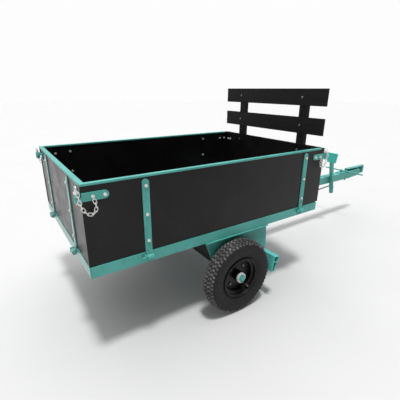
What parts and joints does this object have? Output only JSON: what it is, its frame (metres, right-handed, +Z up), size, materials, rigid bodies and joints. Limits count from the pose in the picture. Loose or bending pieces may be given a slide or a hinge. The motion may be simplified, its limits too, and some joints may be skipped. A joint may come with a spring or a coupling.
{
  "type": "tow-behind cart",
  "caption": "Single-axle tow-behind cart with a drop-side box, slatted headboard, steel frame, drawbar with hitch bush, footrest bar and pedal brake.",
  "frame": {"origin": "on the ground under the middle of the cart's overall length, on the centre line", "axes": "+X forward towards the hitch, +Y to the left, +Z up"},
  "size_m": [2.788, 1.126, 1.1389],
  "materials": {
    "teal_paint": "semi-gloss",
    "pedal_paint": "semi-gloss",
    "coated_board": "satin phenolic film",
    "black_wood": "satin paint",
    "zinc": "zinc plated",
    "bare_steel": "satin",
    "tyre_rubber": "matt",
    "inner_rubber": "matt",
    "wheel_black": "satin",
    "hub_steel": "machined"
  },
  "bodies": {
    "chassis": {"frame_side_rails": "teal_paint", "frame_end_rails": "teal_paint", "floor_cross_members": "teal_paint", "floor_board": "coated_board", "hinge_gudgeons": "teal_paint", "front_panel": "coated_board", "front_angle": "teal_paint", "front_latch_eyes": "teal_paint", "front_bolts": "zinc", "headboard_boards": "black_wood", "headboard_posts": "black_wood", "headboard_bolts": "zinc", "pedestals": "teal_paint", "cross_plate": "teal_paint", "axle_beam": "teal_paint", "stub_axles": "teal_paint", "axle_retainers": "teal_paint", "drawbar": "teal_paint", "coupler": "teal_paint", "coupler_bolts": "teal_paint", "hitch_bush": "teal_paint", "footrest_bar": "teal_paint", "brake_pivots": "teal_paint"},
    "wheel_right": {"tyre_right": "tyre_rubber", "rim_right": "wheel_black", "inner_tube_right": "inner_rubber", "hub_right": "hub_steel", "bearings_right": "hub_steel", "rim_bolts_right": "zinc"},
    "wheel_left": {"tyre_left": "tyre_rubber", "rim_left": "wheel_black", "inner_tube_left": "inner_rubber", "hub_left": "hub_steel", "bearings_left": "hub_steel", "rim_bolts_left": "zinc"},
    "side_right": {"side_panel_right": "coated_board", "side_cap_right": "teal_paint", "side_straps_right": "teal_paint", "side_latch_bars_right": "teal_paint", "side_bolts_right": "zinc", "latch_chains_right": "zinc"},
    "side_left": {"side_panel_left": "coated_board", "side_cap_left": "teal_paint", "side_straps_left": "teal_paint", "side_latch_bars_left": "teal_paint", "side_bolts_left": "zinc", "latch_chains_left": "zinc"},
    "tailgate": {"tailgate_panel": "coated_board", "tailgate_cap": "teal_paint", "tailgate_straps": "teal_paint", "tailgate_latch_eyes": "teal_paint", "tailgate_bolts": "zinc"},
    "pin_rear_right": {"latch_pin_rear_right": "zinc"},
    "pin_front_right": {"latch_pin_front_right": "zinc"},
    "pin_front_left": {"latch_pin_front_left": "zinc"},
    "pin_rear_left": {"latch_pin_rear_left": "zinc"},
    "brake_lever": {"brake_lever": "teal_paint", "brake_pedal": "pedal_paint"},
    "brake_rod": {"brake_rod": "bare_steel"},
    "brake_beam": {"brake_beam": "teal_paint"}
  },
  "joints": [
    {"name": "wheel_right_spin", "type": "hinge", "parent": "chassis", "child": "wheel_right", "pos_m": [-0.64195, -0.5126, 0.204], "axis": [0, 1, 0], "continuous": true},
    {"name": "wheel_left_spin", "type": "hinge", "parent": "chassis", "child": "wheel_left", "pos_m": [-0.64195, 0.5126, 0.204], "axis": [0, 1, 0], "continuous": true},
    {"name": "side_right_drop", "type": "hinge", "parent": "chassis", "child": "side_right", "pos_m": [-0.66145, -0.477, 0.447], "axis": [1, 0, 0], "range_deg": [0, 110], "deforming": ["latch_chains_right"]},
    {"name": "side_left_drop", "type": "hinge", "parent": "chassis", "child": "side_left", "pos_m": [-0.66145, 0.477, 0.447], "axis": [-1, 0, 0], "range_deg": [0, 110], "deforming": ["latch_chains_left"]},
    {"name": "tailgate_drop", "type": "hinge", "parent": "chassis", "child": "tailgate", "pos_m": [-1.37895, 0, 0.447], "axis": [0, -1, 0], "range_deg": [0, 178]},
    {"name": "pin_rear_right_lift", "type": "slide", "parent": "side_right", "child": "pin_rear_right", "axis": [0, 0, 1], "range_m": [0, 0.06], "deforming": ["latch_pin_rear_right"]},
    {"name": "pin_front_right_lift", "type": "slide", "parent": "side_right", "child": "pin_front_right", "axis": [0, 0, 1], "range_m": [0, 0.06], "deforming": ["latch_pin_front_right"]},
    {"name": "pin_front_left_lift", "type": "slide", "parent": "side_left", "child": "pin_front_left", "axis": [0, 0, 1], "range_m": [0, 0.06], "deforming": ["latch_pin_front_left"]},
    {"name": "pin_rear_left_lift", "type": "slide", "parent": "side_left", "child": "pin_rear_left", "axis": [0, 0, 1], "range_m": [0, 0.06], "deforming": ["latch_pin_rear_left"]},
    {"name": "brake_pedal", "type": "hinge", "parent": "chassis", "child": "brake_lever", "pos_m": [0.83105, -0.045, 0.389], "axis": [0, 1, 0], "range_deg": [0, 3.8], "stiffness_Nm_per_rad": 20, "springref_deg": -8.59},
    {"name": "brake_rod_hang", "type": "hinge", "parent": "brake_lever", "child": "brake_rod", "pos_m": [0.84456, -0.022, 0.32542], "axis": [0, 1, 0], "range_deg": [-4, 0]},
    {"name": "brake_beam_swing", "type": "hinge", "parent": "chassis", "child": "brake_beam", "pos_m": [-0.42095, 0, 0.296], "axis": [0, 1, 0], "range_deg": [0, 4.4]}
  ],
  "couplings": [
    {"joint": "brake_rod_hang", "follows": "brake_pedal", "ratio": -1.038},
    {"joint": "brake_beam_swing", "follows": "brake_pedal", "ratio": 1.1555}
  ]
}
